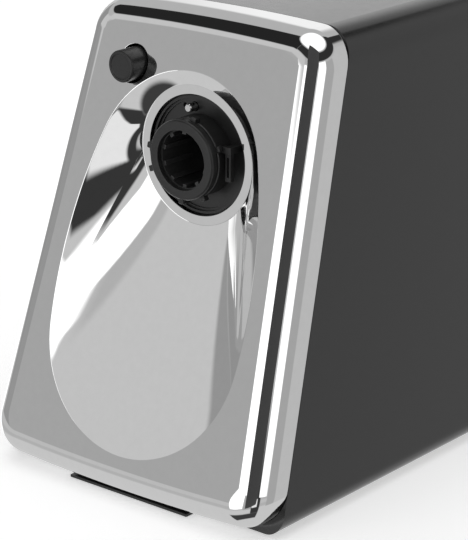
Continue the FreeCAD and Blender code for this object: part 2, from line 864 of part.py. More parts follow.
def make_head_mount():
    """Fixed black coupling tube, and the disc round it that a grinding head is turned against."""
    tube, mouth = dim("tube_radius"), dim("tube_mouth")
    reach = dim("tube_reach")
    face = dim("cover_wall")
    bore = dim("socket_radius") + run_fit
    flange, seat = dim("mount_flange"), dim("mount_collar") + run_fit
    disc = turned(
        "mount_disc_turned",
        [
            (seat, face + 1.4), (27, face + 1.4), (27, face + 0.6), (28.2, face + 0.6),
            (28.2, face - 0.8), (29.3, face - 0.8), (29.3, face + 1.6),
            (dim("land_opening"), face + 1.6), (dim("land_opening"), face), (flange, face),
            (flange, mount_back), (seat, mount_back),
        ],
    )
    place(disc, 0, land_y, hub_z, REARWARD)
    body = turned(
        "coupling_tube_turned",
        [
            (mouth, -reach), (tube - 0.8, -reach), (tube, -reach + 0.8), (tube, face + 1.4),
            (dim("mount_collar"), face + 1.4), (dim("mount_collar"), casing_front),
            (bore, casing_front), (bore, dim("tube_lip") - reach), (mouth, dim("tube_lip") - reach),
        ],
    )
    place(body, 0, land_y, hub_z, REARWARD)
    lugs = []
    for number, (angle, start, length) in enumerate(
        ((169, 0.5, 5), (201, 0.5, 5), (268, 0.8, 6), (296, 5, 3.5), (22, 4, 3), (75, 3, 4))
    ):
        lug = box(f"lug_{number}", 0, 3, 0, length, 0, dim("lug_reach") + 1)
        turn = Rotation(Vector(0, 1, 0), 90 - angle)
        centre = Vector(math.cos(math.radians(angle)), 0, math.sin(math.radians(angle)))
        along = Vector(math.sin(math.radians(angle)), 0, -math.cos(math.radians(angle)))
        place(
            lug, centre.x * (tube - 1) - along.x * 1.5, land_y - reach + start,
            hub_z + centre.z * (tube - 1) - along.z * 1.5, turn,
        )
        lugs.append(lug)
    rail = box("catch_rail", tube + 0.1, 25.5, at(-5), at(-2.5), hub_z + 6, hub_z + 9)
    tab = box("catch_tab", 21.8, 25, at(-4.5), at(-2), hub_z - 8, hub_z + 6.5)
    slit = box("catch_slit", 22.8, 24, at(-6), at(0), hub_z - 6, hub_z + 4)
    stalk = box("catch_stalk", 22, 25.5, at(-3), at(face + 2), hub_z + 6, hub_z + 9)
    catch = cut("catch", fuse("catch_solid", [rail, tab, stalk]), [slit])
    node(fuse("coupling_tube_solid", [body] + lugs), "coupling_tube")
    pin_x, pin_z = -dim("pin_across"), dim("pin_height")
    holes = [
        rod("pin_hole", dim("pin_radius") + fit, at(0), at(10), pin_x, pin_z),
        rod("pin_dimple", 1.4, at(0), at(face + 3), pin_x - 6, pin_z - 0.5),
    ]
    node(cut("head_mount_cut", fuse("mount_solid", [disc, catch]), holes), "head_mount")


def toothed_face(teeth, module, shift, thinning):
    """Outline of a spur gear with straight flanks, each tooth thinned by that share of the module.

    shift turns the gear by that share of one tooth.
    """
    pitch = teeth * module / 2
    tip, base_root = pitch + module * 0.95, pitch - 1.25 * module
    step = 2 * math.pi / teeth
    half = step / 4 - thinning * module / (2 * pitch)
    lean = math.tan(math.radians(22))

    def spot(radius, turn):
        return Vector(radius * math.cos(turn), radius * math.sin(turn), 0)

    points = []
    for tooth in range(int(teeth)):
        middle = step * (tooth + shift)
        for radius, side in ((base_root, -1), (pitch, -1), (tip, -1), (tip, 1), (pitch, 1), (base_root, 1)):
            spread = half - (radius - pitch) * lean / pitch
            points.append(spot(radius, middle + side * spread))
    points.append(points[0])
    return Part.Face(Part.makePolygon(points))


def gear_ring(name, teeth, module, width, y0, z, shift):
    """Toothed disc; its outline comes straight from the tooth count and module on the sheet."""
    item = doc.addObject("Part::Feature", name)
    thinning = dim("tooth_thinning").value
    face = toothed_face(round(size(teeth).value), size(module).value, shift, thinning)
    item.Shape = face.extrude(Vector(0, 0, size(width).value))
    return place(item, 0, y0, z, REARWARD)


def make_gears():
    """Output gear with its splined socket, and the lay gear between it and the motor."""
    depth0 = dim("tube_lip") - dim("tube_reach") + fit
    hub = turned(
        "output_hub",
        [
            (dim("socket_bore"), depth0), (dim("socket_radius"), depth0),
            (dim("socket_radius"), gear_front - 0.3), (dim("hub_radius"), gear_front - 0.3),
            (dim("hub_radius"), gear_back), (dim("journal_radius"), gear_back),
            (dim("journal_radius"), casing_back - 1), (0, casing_back - 1),
            (0, gear_front + 4), (dim("socket_bore"), gear_front + 4),
        ],
    )
    place(hub, 0, land_y, hub_z, REARWARD)
    teeth = gear_ring(
        "output_teeth", dim("drive_gear_teeth"), dim("drive_module"), dim("drive_width"),
        at(gear_front), hub_z, 0.0,
    )
    bore = rod("output_bore", dim("hub_radius") + 0.02, at(gear_front) - 1, at(gear_back) + 1, 0, hub_z)
    dish = cut(
        "output_gear_cut", teeth,
        [bore, ring_cut("output_dish_front", 26, 42, at(gear_front) - 1, at(gear_front) + 4, hub_z),
         ring_cut("output_dish_back", 26, 42, at(gear_back) - 4, at(gear_back) + 1, hub_z)],
    )
    node(dish, "output_gear")
    ribs = []
    count = int(dim("spline_count").value)
    for number in range(count):
        angle = 360 * number / count + 18
        rib = box(f"spline_{number}", 0, dim("spline_width"), 0, 20, 0, dim("spline_height") + 0.5)
        turn = Rotation(Vector(0, 1, 0), 90 - angle)
        out = Vector(math.cos(math.radians(angle)), 0, math.sin(math.radians(angle)))
        along = Vector(out.z, 0, -out.x)
        inner = dim("socket_bore") - dim("spline_height")
        half = dim("spline_width") / 2
        place(rib, out.x * inner - along.x * half, at(depth0), hub_z + out.z * inner - along.z * half, turn)
        ribs.append(rib)
    node(fuse("output_socket_solid", [hub] + ribs), "output_socket")

    pinion = gear_ring(
        "lay_pinion_teeth", dim("drive_pinion_teeth"), dim("drive_module"),
        motor_gear_front - gear_front, at(gear_front), lay_z,
        mesh_shift(dim("drive_gear_teeth"), dim("drive_pinion_teeth")),
    )
    wheel = gear_ring(
        "lay_wheel_teeth", dim("motor_gear_teeth"), dim("motor_module"), dim("motor_width"),
        at(motor_gear_front), lay_z, 0.0,
    )
    lay_bore = rod(
        "lay_bore", dim("lay_pin_radius") + run_fit, at(gear_front) - 1, at(motor_gear_back) + 1, 0, lay_z,
    )
    dish = ring_cut("lay_dish", 14, 28, at(motor_gear_back) - 3, at(motor_gear_back) + 1, lay_z)
    node(cut("lay_gear_cut", fuse("lay_gear_solid", [pinion, wheel]), [lay_bore, dish]), "lay_gear")
    pin = rod("lay_pin_rod", dim("lay_pin_radius"), at(casing_front + 1), at(casing_plate + 3), 0, lay_z)
    node(pin, "lay_gear_pin")


def mesh_shift(gear_teeth, pinion_teeth):
    """Share of a tooth that turns a pinion so that it meets the gear above it tooth to gap."""
    return (gear_teeth.value / 4 - pinion_teeth.value / 4 - 0.5) % 1


def ring_cut(name, inner, outer, y0, y1, z):
    return cut(name, rod(f"{name}_outer", outer, y0, y1, 0, z), [rod(f"{name}_inner", inner, y0 - 1, y1 + 1, 0, z)])


def make_gear_casing():
    """Front and rear halves of the gear casing, the rear bush and the casing screws."""
    skin = dim("casing_wall")
    front, split, plate, back = casing_front, casing_split, casing_plate, casing_back
    outer = fuse("front_case_outer", casing_shapes("front_case", 0, at(front), at(split)))
    inner = casing_shapes("front_room", -skin, at(front + skin), at(split) + 1)
    hub_hole = rod("case_hub_hole", dim("socket_radius") + 1, at(front) - 1, at(front + skin) + 1, 0, hub_z)
    pin_seat = rod("front_pin_seat", dim("lay_pin_radius"), at(front + 1), at(split), 0, lay_z)
    tail = rod("pin_tail_room", dim("pin_radius") + fit, at(front) - 1, at(front + skin) + 1,
               -dim("pin_across"), dim("pin_height"))
    case = cut("front_case_hollow", outer, inner + [hub_hole, pin_seat, tail])
    node(case, "gear_case_front")

    outer = fuse("rear_case_outer", casing_shapes("rear_case", 0, at(split), at(back)))
    inner = casing_shapes("rear_room", -skin, at(split) - 1, at(plate))
    boss = ring_cut("bush_boss", dim("journal_radius"), 14, at(gear_back + 3), at(plate) + 1, hub_z)
    seats = [
        rod("bush_seat", dim("bush_radius"), at(gear_back + 4), at(back) - 1, 0, hub_z),
        rod("rear_pin_seat", dim("lay_pin_radius"), at(plate) - 1, at(plate + 3), 0, lay_z),
        rod("bearing_seat", dim("bearing_radius"), at(plate) - 1, at(back) + 1, 0, motor_z),
    ]
    for side in (-1, 1):
        seats.append(rod(f"bolt_seat_{side + 1}", dim("bolt_radius"), at(plate + 1.5), at(back) + 1,
                         side * dim("bolt_across"), motor_z))
    case = cut("rear_case_hollow", outer, inner)
    ears = []
    for side in (-1, 1):
        ears.append(rod(f"bolt_ear_{side + 1}", 6, at(plate), at(back), side * dim("bolt_across"), motor_z))
    bar = box("bolt_bar", -dim("bolt_across"), dim("bolt_across"), at(plate), at(back), motor_z - 5, motor_z + 5)
    case = cut("rear_case_seats", fuse("rear_case_solid", [case, boss, bar] + ears), seats)
    node(case, "gear_case_rear")

    bush = cut(
        "output_bush_cut",
        rod("output_bush_outer", dim("bush_radius"), at(gear_back + 4), at(back) - 1, 0, hub_z),
        [rod("output_bush_bore", dim("journal_radius") + run_fit, at(gear_back), at(back) + 1, 0, hub_z)],
    )
    node(bush, "output_bush")


def bearing(name, depth):
    """Ball bearing drawn as two races and a ring of balls in its cage."""
    inner, outer, width = dim("shaft_radius") + 0.01, dim("bearing_radius"), dim("bearing_width")
    y0, y1 = at(depth), at(depth + width)
    races = [
        ring_cut(f"{name}_inner", inner, inner + 1.6, y0, y1, motor_z),
        ring_cut(f"{name}_outer", outer - 1.6, outer, y0, y1, motor_z),
        ring_cut(f"{name}_cage", inner + 1.6, outer - 1.6, y0 + 1, y1 - 1, motor_z),
    ]
    return node(fuse(f"{name}_solid", races), name)


def make_motor():
    """Universal motor: field, coils, armature, commutator, brushes, fan and rear bracket."""
    stator = dim("stator_radius")
    y0, y1 = at(core_front), at(core_back)
    ring_body = ring_cut("field_yoke", dim("yoke_radius"), stator, y0, y1, motor_z)
    pole = box("field_pole", -dim("pole_half_width"), dim("pole_half_width"), y0, y1,
               motor_z - stator + 2, motor_z + stator - 2)
    shoe = cut(
        "field_shoes",
        rod("field_shoe_outer", dim("core_radius") + dim("air_gap") + 2.4, y0, y1, 0, motor_z),
        [box(f"field_shoe_gap_{side + 1}", min(side * 19, side * 40), max(side * 19, side * 40),
             y0 - 1, y1 + 1, motor_z - 40, motor_z + 40) for side in (-1, 1)],
    )
    bore = rod("field_bore", dim("core_radius") + dim("air_gap"), y0 - 1, y1 + 1, 0, motor_z)
    trims = [bore]
    for side in (-1, 1):
        trims.append(rod(f"field_bolt_hole_{side + 1}", dim("bolt_radius") + 0.05, y0 - 1, y1 + 1,
                         side * dim("bolt_across"), motor_z))
    node(cut("field_core_cut", fuse("field_solid", [ring_body, pole, shoe]), trims), "field_core")

    coils = []
    for side, name in ((1, "upper"), (-1, "lower")):
        low, high = sorted((side * 27, side * 32.5))
        width = dim("pole_half_width") + fit
        out = box(f"coil_{name}_outer", -width - 6, width + 6, y0 - coil_overhang, y1 + coil_overhang,
                  motor_z + low, motor_z + high)
        hole = box(f"coil_{name}_hole", -width, width, y0 - fit, y1 + fit, motor_z + low - 1, motor_z + high + 1)
        bound = rod(f"coil_{name}_bound", dim("yoke_radius") - fit, y0 - 20, y1 + 20, 0, motor_z)
        coils.append(common(f"coil_{name}", cut(f"coil_{name}_ring", out, [hole]), bound))
    node(group("field_coil_pair", coils), "field_coils")

    shaft = turned(
        "armature_shaft_body",
        [(0, motor_gear_front), (dim("pinion_bore"), motor_gear_front),
         (dim("pinion_bore"), motor_gear_back + 1.2), (dim("shaft_radius"), motor_gear_back + 1.2),
         (dim("shaft_radius"), bracket_back - 0.5), (0, bracket_back - 0.5)],
    )
    node(place(shaft, 0, land_y, motor_z, REARWARD), "motor_shaft")

    pinion = gear_ring(
        "motor_pinion_teeth", dim("motor_pinion_teeth"), dim("motor_module"), dim("motor_width") + 1,
        at(motor_gear_front), motor_z,
        mesh_shift(dim("motor_gear_teeth"), dim("motor_pinion_teeth")),
    )
    pinion_bore = rod("pinion_bore", dim("pinion_bore"), at(motor_gear_front) - 1, at(motor_gear_back) + 2, 0, motor_z)
    node(cut("motor_pinion_cut", pinion, [pinion_bore]), "motor_pinion")

    core = new_body("armature_core_body")
    disc = ring(ring(body_sketch(core, "XY_Plane"), (0, 0), dim("core_radius")), (0, 0), dim("shaft_radius"), "bore")
    pad(core, disc, dim("core_length"))
    slot = loop(body_sketch(core, "XY_Plane"), rectangle(14, 26, -1.4, 1.4))
    repeat(core, pocket(core, slot, dim("core_length"), reverse=True), 12)
    node(place(core, 0, at(core_front), motor_z, REARWARD), "armature_core")

    ends = []
    for name, depth in (("front", core_front - 5), ("rear", core_back)):
        end = turned(
            f"winding_{name}",
            [(dim("shaft_radius"), 0), (17, 0), (21, 1.5), (21, 3.5), (17, 5), (dim("shaft_radius"), 5)],
        )
        ends.append(place(end, 0, at(depth), motor_z, REARWARD))
    node(group("winding_pair", ends), "armature_windings")

    bars = new_body("commutator_body")
    face = ring(ring(body_sketch(bars, "XY_Plane"), (0, 0), dim("commutator_radius")), (0, 0), dim("shaft_radius"), "bore")
    pad(bars, face, commutator_back - commutator_front)
    gap = loop(body_sketch(bars, "XY_Plane"), rectangle(dim("commutator_radius") - 1, dim("commutator_radius") + 2, -0.25, 0.25))
    repeat(bars, pocket(bars, gap, commutator_back - commutator_front, reverse=True), 20)
    node(place(bars, 0, at(commutator_front), motor_z, REARWARD), "commutator")

    fan = new_body("fan_body")
    hub = ring(ring(body_sketch(fan, "XY_Plane"), (0, 0), 12), (0, 0), dim("shaft_radius"), "bore")
    pad(fan, hub, 10)
    disc = ring(ring(body_sketch(fan, "XY_Plane"), (0, 0), dim("fan_radius")), (0, 0), 11, "bore")
    pad(fan, disc, 1.6)
    blade = loop(body_sketch(fan, "XY_Plane", 1), rectangle(11, dim("fan_radius") - 1, 3, 4.6))
    repeat(fan, pad(fan, blade, 8), 11)
    node(place(fan, 0, at(fan_front), motor_z, REARWARD), "cooling_fan")

    bearing("front_bearing", casing_plate)
    bearing("rear_bearing", bracket_front + 1)

    plate = turned(
        "rear_bracket_body",
        [(dim("bearing_radius"), bracket_front), (dim("bracket_radius"), bracket_front),
         (dim("bracket_radius"), bracket_front + 4), (14, bracket_front + 4), (13, bracket_back),
         (6, bracket_back), (6, bracket_front + 1 + dim("bearing_width")),
         (dim("bearing_radius"), bracket_front + 1 + dim("bearing_width"))],
    )
    place(plate, 0, land_y, motor_z, REARWARD)
    arms = box("bracket_arms", -dim("bolt_across") - 6, dim("bolt_across") + 6, at(bracket_front),
               at(bracket_front + 4), motor_z - 6, motor_z + 6)
    trims = [rod("bracket_bore", dim("bearing_radius"), at(bracket_front) - 1,
                 at(bracket_front + 1 + dim("bearing_width")), 0, motor_z),
             rod("bracket_shaft_room", 6, at(bracket_front), at(bracket_back) + 1, 0, motor_z)]
    for side in (-1, 1):
        trims.append(rod(f"bracket_bolt_hole_{side + 1}", dim("bolt_radius") + 0.05, at(bracket_front) - 1,
                         at(bracket_back), side * dim("bolt_across"), motor_z))
    node(cut("rear_bracket_cut", fuse("rear_bracket_solid", [plate, arms]), trims), "motor_bracket")

    bolts = []
    for side in (-1, 1):
        head = dim("bolt_radius") + 1.8
        bolt = turned(
            f"motor_bolt_{side + 1}",
            [(0, casing_plate + 1.5), (dim("bolt_radius"), casing_plate + 1.5),
             (dim("bolt_radius"), bracket_front + 4), (head, bracket_front + 4),
             (head, bracket_front + 7), (0, bracket_front + 7)],
        )
        bolts.append(place(bolt, side * dim("bolt_across"), land_y, motor_z, REARWARD))
    node(group("motor_bolt_pair", bolts), "motor_bolts")

    holders, carbons = [], []
    middle = at((commutator_front + commutator_back) / 2)
    reach = dim("commutator_radius") + 0.05
    for side in (-1, 1):
        near, far = sorted((side * (reach.value + 2), side * 30))
        near_carbon, far_carbon = sorted((side * reach.value, side * 24))
        tube = box(f"brush_tube_{side + 1}", near, far, middle - 4, at(bracket_front), motor_z - 5, motor_z + 5)
        room = box(f"brush_room_{side + 1}", near - 1, far + 1, middle - 2.6, middle + 2.6, motor_z - 3.6, motor_z + 3.6)
        holders.append(cut(f"brush_holder_{side + 1}", tube, [room]))
        carbons.append(box(f"carbon_{side + 1}", near_carbon, far_carbon, middle - 2.5, middle + 2.5,
                           motor_z - 3.5, motor_z + 3.5))
    node(group("brush_holder_pair", holders), "brush_holders")
    node(group("carbon_pair", carbons), "carbon_brushes")


def make_release():
    """Release button, the link behind the cover, the lock pin that it draws back, and their spring."""
    x, z = -dim("button_across"), dim("button_height")
    radius = dim("button_radius")
    front = front_y(z) - dim("button_reach")
    near, far = at(link_front), at(link_back)
    length = near - front
    button = turned(
        "release_button_body",
        [(0, 0), (radius - 0.9, 0), (radius - 0.25, 0.25), (radius, 0.9), (radius, 19), (5, 19),
         (5, length), (0, length)],
    )
    node(place(button, x, front, z, REARWARD), "release_button")
    pin_x, pin_z = -dim("pin_across"), dim("pin_height")
    ears = [rod("link_button_end", 6, near, far, x, z),
            rod("link_pin_end", 3.9, near, far, pin_x, pin_z)]
    run_x, run_z = pin_x - x, z - pin_z
    arm_length = root(run_x * run_x + run_z * run_z)
    arm = box("link_arm", 0, arm_length, 0, dim("link_thick"), -3, 3)
    lean = math.degrees(math.atan2(run_z.value, run_x.value))
    turn = Rotation(Vector(0, 1, 0), lean)
    place(arm, x - 3 * run_z / arm_length, near, z - 3 * run_x / arm_length, turn)
    link = cut("release_link_cut", fuse("release_link_solid", ears + [arm]),
               [rod("link_pin_bore", dim("pin_radius"), near - 1, far + 1, pin_x, pin_z)])
    node(link, "release_link")
    pin_length = far - at(-dim("pin_proud"))
    pin = turned(
        "lock_pin_body",
        [(0, 0), (dim("pin_radius") - 0.5, 0), (dim("pin_radius"), 0.5), (dim("pin_radius"), pin_length),
         (0, pin_length)],
    )
    node(place(pin, pin_x, at(-dim("pin_proud")), pin_z, REARWARD), "lock_pin")
    spring = ring_cut_at("spring_sleeve", 2.6, 3.6, far, at(casing_front), pin_x, pin_z)
    node(spring, "release_spring")


def ring_cut_at(name, inner, outer, y0, y1, x, z):
    return cut(name, rod(f"{name}_outer", outer, y0, y1, x, z), [rod(f"{name}_inner", inner, y0 - 1, y1 + 1, x, z)])


def switch_frame(item, out=0):
    """Stand an item on the outside of the left wall at the switch, local Z outwards."""
    height = dim("switch_height")
    lean = 90 - dim("side_slope")
    x = -side_x(height, 0) - out * sin(lean)
    return place(item, x, dim("switch_y"), height + out * cos(lean), Rotation(Vector(0, 1, 0), -lean.value), -lean)


def side_box(name, x0, x1, y0, y1, z0, z1):
    """Box in the switch's own frame, made as a padded body so that it can be stood on the wall."""
    body = new_body(name)
    sketch = loop(body_sketch(body, "XY_Plane", z0), rectangle(x0, x1, y0, y1))
    pad(body, sketch, size(z1) - size(z0))
    return switch_frame(body)


def switch_hole():
    half_x, half_y = dim("switch_back_end"), dim("switch_half_width")
    return side_box("switch_hole_cut", -half_x - 0.1, half_x + 0.1, -half_y - 0.1, half_y + 0.1, -10, 5)


def make_switch():
    """Rocker switch in the left wall: body with its bezel, and the rocker."""
    half_x, half_y = dim("switch_back_end"), dim("switch_half_width")
    rim = side_box("switch_bezel", -half_x - 2.5, half_x + 2.5, -half_y - 2.5, half_y + 2.5, 0, 2)
    can = side_box("switch_can", -half_x, half_x, -half_y, half_y, -24, 1)
    pocket_box = side_box("switch_pocket", -half_x + 1.6, half_x - 1.6, -half_y + 2, half_y - 2, -12, 5)
    axle = switch_axle("switch_axle_hole", dim("axle_radius") + run_fit, half_y - 0.4)
    node(cut("switch_body_cut", fuse("switch_solid", [rim, can]), [pocket_box, axle]), "switch_body")
    blank = side_box("rocker_blank", -half_x + 3, half_x - 3, -half_y + 2.4, half_y - 2.4, -6, 6)
    crown = switch_axle("rocker_crown", dim("rocker_round"), half_y, -dim("rocker_round") + 4.6)
    rocker = common("rocker_solid", blank, crown)
    pins = switch_axle("rocker_axle", dim("axle_radius"), half_y - 0.7)
    node(fuse("power_rocker_solid", [rocker, pins]), "power_rocker")


def switch_axle(name, radius, reach, height=None):
    """Cylinder along Y, centred on the switch, at this height over the wall."""
    height = dim("axle_height") if height is None else height
    item = doc.addObject("Part::Cylinder", name)
    bind(item, "Radius", radius)
    bind(item, "Height", reach * 2)
    lean = 90 - dim("side_slope")
    z = dim("switch_height")
    x = -side_x(z, 0) - height * sin(lean)
    return place(item, x, dim("switch_y") - reach, z + height * cos(lean), REARWARD)


def make_electrics():
    """Control board on the rear bulkhead and the cord's entry bush in the rear wall."""
    y0 = at(bracket_seat + wall)
    board = box("board_plate", -45, 45, y0 + 6, y0 + 7.6, motor_z + 36, motor_z + 46)
    studs = [rod(f"board_stud_{side + 1}", 2, y0, y0 + 6.5, side * 38, motor_z + 41) for side in (-1, 1)]
    parts = [box("board_relay", -30, -14, y0 + 7, y0 + 19, motor_z + 37, motor_z + 45),
             rod("board_capacitor", 4, y0 + 7, y0 + 20, 8, motor_z + 41)]
    node(fuse("control_board_solid", [board] + studs + parts), "control_board")
    gland = turned(
        "cord_gland_body",
        [(3.6, -8), (dim("gland_radius") + 0.8, -8), (dim("gland_radius") + 0.8, -wall - 0.05),
         (dim("gland_radius"), -wall - 0.05), (dim("gland_radius"), 0), (dim("gland_radius") + 2.5, 0),
         (dim("gland_radius") + 1.5, dim("gland_proud")), (3.6, dim("gland_proud"))],
    )
    node(place(gland, dim("gland_across"), back_end, dim("gland_height"), REARWARD), "cord_gland")


make_front_cover()
make_housings()
make_base()
make_case_screws()
make_head_mount()
make_gears()
make_gear_casing()
make_motor()
make_release()
make_switch()
make_electrics()

doc.recompute()
for item in doc.Objects:
    if "Invalid" in item.State or "Error" in item.State:
        raise RuntimeError(f"{item.Name} did not build: {item.State}")
for item in NODES:
    if item.Shape.isNull() or not item.Shape.isValid():
        raise RuntimeError(f"{item.Label} is not a valid shape")
for item in NODES:
    item.Shape.exportStep(f"parts/{item.Label}.step")
    print(item.Label, len(item.Shape.Solids), round(item.Shape.Volume))
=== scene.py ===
"""Looks of an electric meat grinder's drive base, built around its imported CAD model."""

import bmesh
import bpy
import json
import math
from itertools import product
from mathutils import Matrix, Vector


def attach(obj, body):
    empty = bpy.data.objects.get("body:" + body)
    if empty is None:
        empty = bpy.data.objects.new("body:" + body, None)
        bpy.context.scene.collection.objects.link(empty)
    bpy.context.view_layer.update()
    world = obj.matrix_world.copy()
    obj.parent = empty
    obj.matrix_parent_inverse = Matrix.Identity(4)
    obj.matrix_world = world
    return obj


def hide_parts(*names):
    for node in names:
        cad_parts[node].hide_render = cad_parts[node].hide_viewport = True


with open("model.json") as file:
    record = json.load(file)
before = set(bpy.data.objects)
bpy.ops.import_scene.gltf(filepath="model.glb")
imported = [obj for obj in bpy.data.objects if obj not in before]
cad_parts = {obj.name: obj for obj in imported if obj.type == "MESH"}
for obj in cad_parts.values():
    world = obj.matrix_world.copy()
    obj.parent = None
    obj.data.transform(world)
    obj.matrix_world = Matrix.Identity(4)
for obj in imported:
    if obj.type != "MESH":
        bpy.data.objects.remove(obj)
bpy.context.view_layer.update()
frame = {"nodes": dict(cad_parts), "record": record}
nodes = frame["nodes"]
bpy.ops.object.select_all(action="DESELECT")


# ---------------------------------------------------------------- node helpers
def link(tree, source, target):
    tree.links.new(source, target)


def add(tree, kind, **settings):
    node = tree.nodes.new(kind)
    for name, value in settings.items():
        setattr(node, name, value)
    return node


def math_node(tree, operation, first, second=None, clamp=False):
    node = add(tree, "ShaderNodeMath", operation=operation, use_clamp=clamp)
    for number, value in enumerate((first, second)):
        if value is None:
            continue
        if isinstance(value, (int, float)):
            node.inputs[number].default_value = value
        else:
            link(tree, value, node.inputs[number])
    return node.outputs[0]


def new_group(name, inputs, outputs):
    """Empty node group with named sockets; returns the tree and its two end nodes."""
    tree = bpy.data.node_groups.new(name, "ShaderNodeTree")
    for label, kind, value in inputs:
        socket = tree.interface.new_socket(label, in_out="INPUT", socket_type=kind)
        socket.default_value = value
    for label, kind in outputs:
        tree.interface.new_socket(label, in_out="OUTPUT", socket_type=kind)
    return tree, tree.nodes.new("NodeGroupInput"), tree.nodes.new("NodeGroupOutput")


FLOAT, VECTOR, COLOUR = "NodeSocketFloat", "NodeSocketVector", "NodeSocketColor"


def build_grain():
    """Fine noise on the surface, as a value round a middle and as a height."""
    tree, given, out = new_group(
        "fine_grain",
        [
            ("Scale", FLOAT, 400.0), ("Detail", FLOAT, 3.0),
            ("Low", FLOAT, 0.0), ("High", FLOAT, 1.0),
        ],
        [("Value", FLOAT), ("Height", FLOAT)],
    )
    place = add(tree, "ShaderNodeTexCoord")
    noise = add(tree, "ShaderNodeTexNoise")
    link(tree, place.outputs["Object"], noise.inputs["Vector"])
    link(tree, given.outputs["Scale"], noise.inputs["Scale"])
    link(tree, given.outputs["Detail"], noise.inputs["Detail"])
    spread = add(tree, "ShaderNodeMapRange")
    spread.inputs["From Min"].default_value = 0.3
    spread.inputs["From Max"].default_value = 0.7
    link(tree, noise.outputs[0], spread.inputs["Value"])
    link(tree, given.outputs["Low"], spread.inputs["To Min"])
    link(tree, given.outputs["High"], spread.inputs["To Max"])
    link(tree, spread.outputs[0], out.inputs["Value"])
    link(tree, noise.outputs[0], out.inputs["Height"])
    return tree


def build_edge_wear_and_highlight():
    """Mask along outside edges, broken up by noise; it lightens edges, partly as wear and partly as
    a painted highlight on their rounding.
    """
    tree, given, out = new_group(
        "edge_wear_and_highlight",
        [("Radius", FLOAT, 0.0006), ("Amount", FLOAT, 0.5), ("Scale", FLOAT, 300.0)],
        [("Mask", FLOAT)],
    )
    bevel = add(tree, "ShaderNodeBevel", samples=4)
    link(tree, given.outputs["Radius"], bevel.inputs["Radius"])
    flat = add(tree, "ShaderNodeNewGeometry")
    dot = add(tree, "ShaderNodeVectorMath", operation="DOT_PRODUCT")
    link(tree, bevel.outputs[0], dot.inputs[0])
    link(tree, flat.outputs["Normal"], dot.inputs[1])
    turn = math_node(tree, "SUBTRACT", 1.0, dot.outputs["Value"])
    place = add(tree, "ShaderNodeTexCoord")
    noise = add(tree, "ShaderNodeTexNoise")
    link(tree, place.outputs["Object"], noise.inputs["Vector"])
    link(tree, given.outputs["Scale"], noise.inputs["Scale"])
    rough = math_node(tree, "MULTIPLY", math_node(tree, "MULTIPLY", turn, 6.0), noise.outputs[0])
    mask = math_node(tree, "MULTIPLY", rough, given.outputs["Amount"], clamp=True)
    link(tree, mask, out.inputs["Mask"])
    return tree


def build_dust():
    """Mask of faint dust on faces that look up."""
    tree, given, out = new_group(
        "settled_dust", [("Amount", FLOAT, 0.1), ("Scale", FLOAT, 60.0)], [("Mask", FLOAT)]
    )
    flat = add(tree, "ShaderNodeNewGeometry")
    split = add(tree, "ShaderNodeSeparateXYZ")
    link(tree, flat.outputs["Normal"], split.inputs[0])
    place = add(tree, "ShaderNodeTexCoord")
    noise = add(tree, "ShaderNodeTexNoise")
    noise.inputs["Detail"].default_value = 5.0
    link(tree, place.outputs["Object"], noise.inputs["Vector"])
    link(tree, given.outputs["Scale"], noise.inputs["Scale"])
    up = math_node(tree, "MULTIPLY", split.outputs["Z"], noise.outputs[0], clamp=True)
    mask = math_node(tree, "MULTIPLY", up, given.outputs["Amount"], clamp=True)
    link(tree, mask, out.inputs["Mask"])
    return tree


GRAIN, WEAR_AND_HIGHLIGHT, DUST = build_grain(), build_edge_wear_and_highlight(), build_dust()


def use(tree, group, **values):
    node = add(tree, "ShaderNodeGroup", node_tree=group)
    for name, value in values.items():
        node.inputs[name].default_value = value
    return node


def mix(tree, mask, first, second):
    """Colour mix of two greys or colours by a mask."""
    node = add(tree, "ShaderNodeMix", data_type="RGBA")
    link(tree, mask, node.inputs["Factor"])
    for label, value in (("A", first), ("B", second)):
        socket = next(s for s in node.inputs if s.name == label and s.type == "RGBA")
        if isinstance(value, tuple):
            socket.default_value = (*value, 1.0)
        else:
            link(tree, value, socket)
    return next(s for s in node.outputs if s.type == "RGBA")


FINISHES = {}


def finish_material(
    name, dark, light, rough, metallic=0.0, grain_scale=400.0, bump=0.0, bump_size=0.0001,
    wear_and_highlight=0.0, wear_and_highlight_colour=None, dust=0.0, coat=0.0, coat_rough=0.05,
):
    """Material with grain in its colour and roughness, a fine bump, outside edges lightened partly
    as wear and partly as painted highlight, and dust.
    """
    made = bpy.data.materials.new(name)
    made.use_nodes = True
    tree = made.node_tree
    shader = tree.nodes["Principled BSDF"]
    shader.inputs["Metallic"].default_value = metallic
    if coat:
        shader.inputs["Coat Weight"].default_value = coat
        shader.inputs["Coat Roughness"].default_value = coat_rough
    grain = use(tree, GRAIN, Scale=grain_scale)
    colour = mix(tree, grain.outputs["Value"], dark, light)
    # Outside edges are mixed towards a lighter colour: partly wear, partly a painted highlight
    # along their rounding.
    if wear_and_highlight:
        worn_and_lit = use(tree, WEAR_AND_HIGHLIGHT, Amount=wear_and_highlight)
        colour = mix(tree, worn_and_lit.outputs["Mask"], colour, wear_and_highlight_colour or light)
    if dust:
        film = use(tree, DUST, Amount=dust)
        colour = mix(tree, film.outputs["Mask"], colour, (0.45, 0.44, 0.42))
    link(tree, colour, shader.inputs["Base Color"])
    polish = use(tree, GRAIN, Scale=grain_scale * 0.31, Low=rough[0], High=rough[1])
    link(tree, polish.outputs["Value"], shader.inputs["Roughness"])
    if bump:
        lift = add(tree, "ShaderNodeBump")
        lift.inputs["Strength"].default_value = bump
        lift.inputs["Distance"].default_value = bump_size
        link(tree, grain.outputs["Height"], lift.inputs["Height"])
        link(tree, lift.outputs[0], shader.inputs["Normal"])
    FINISHES[name] = made


def grey(value):
    return (value, value, value)


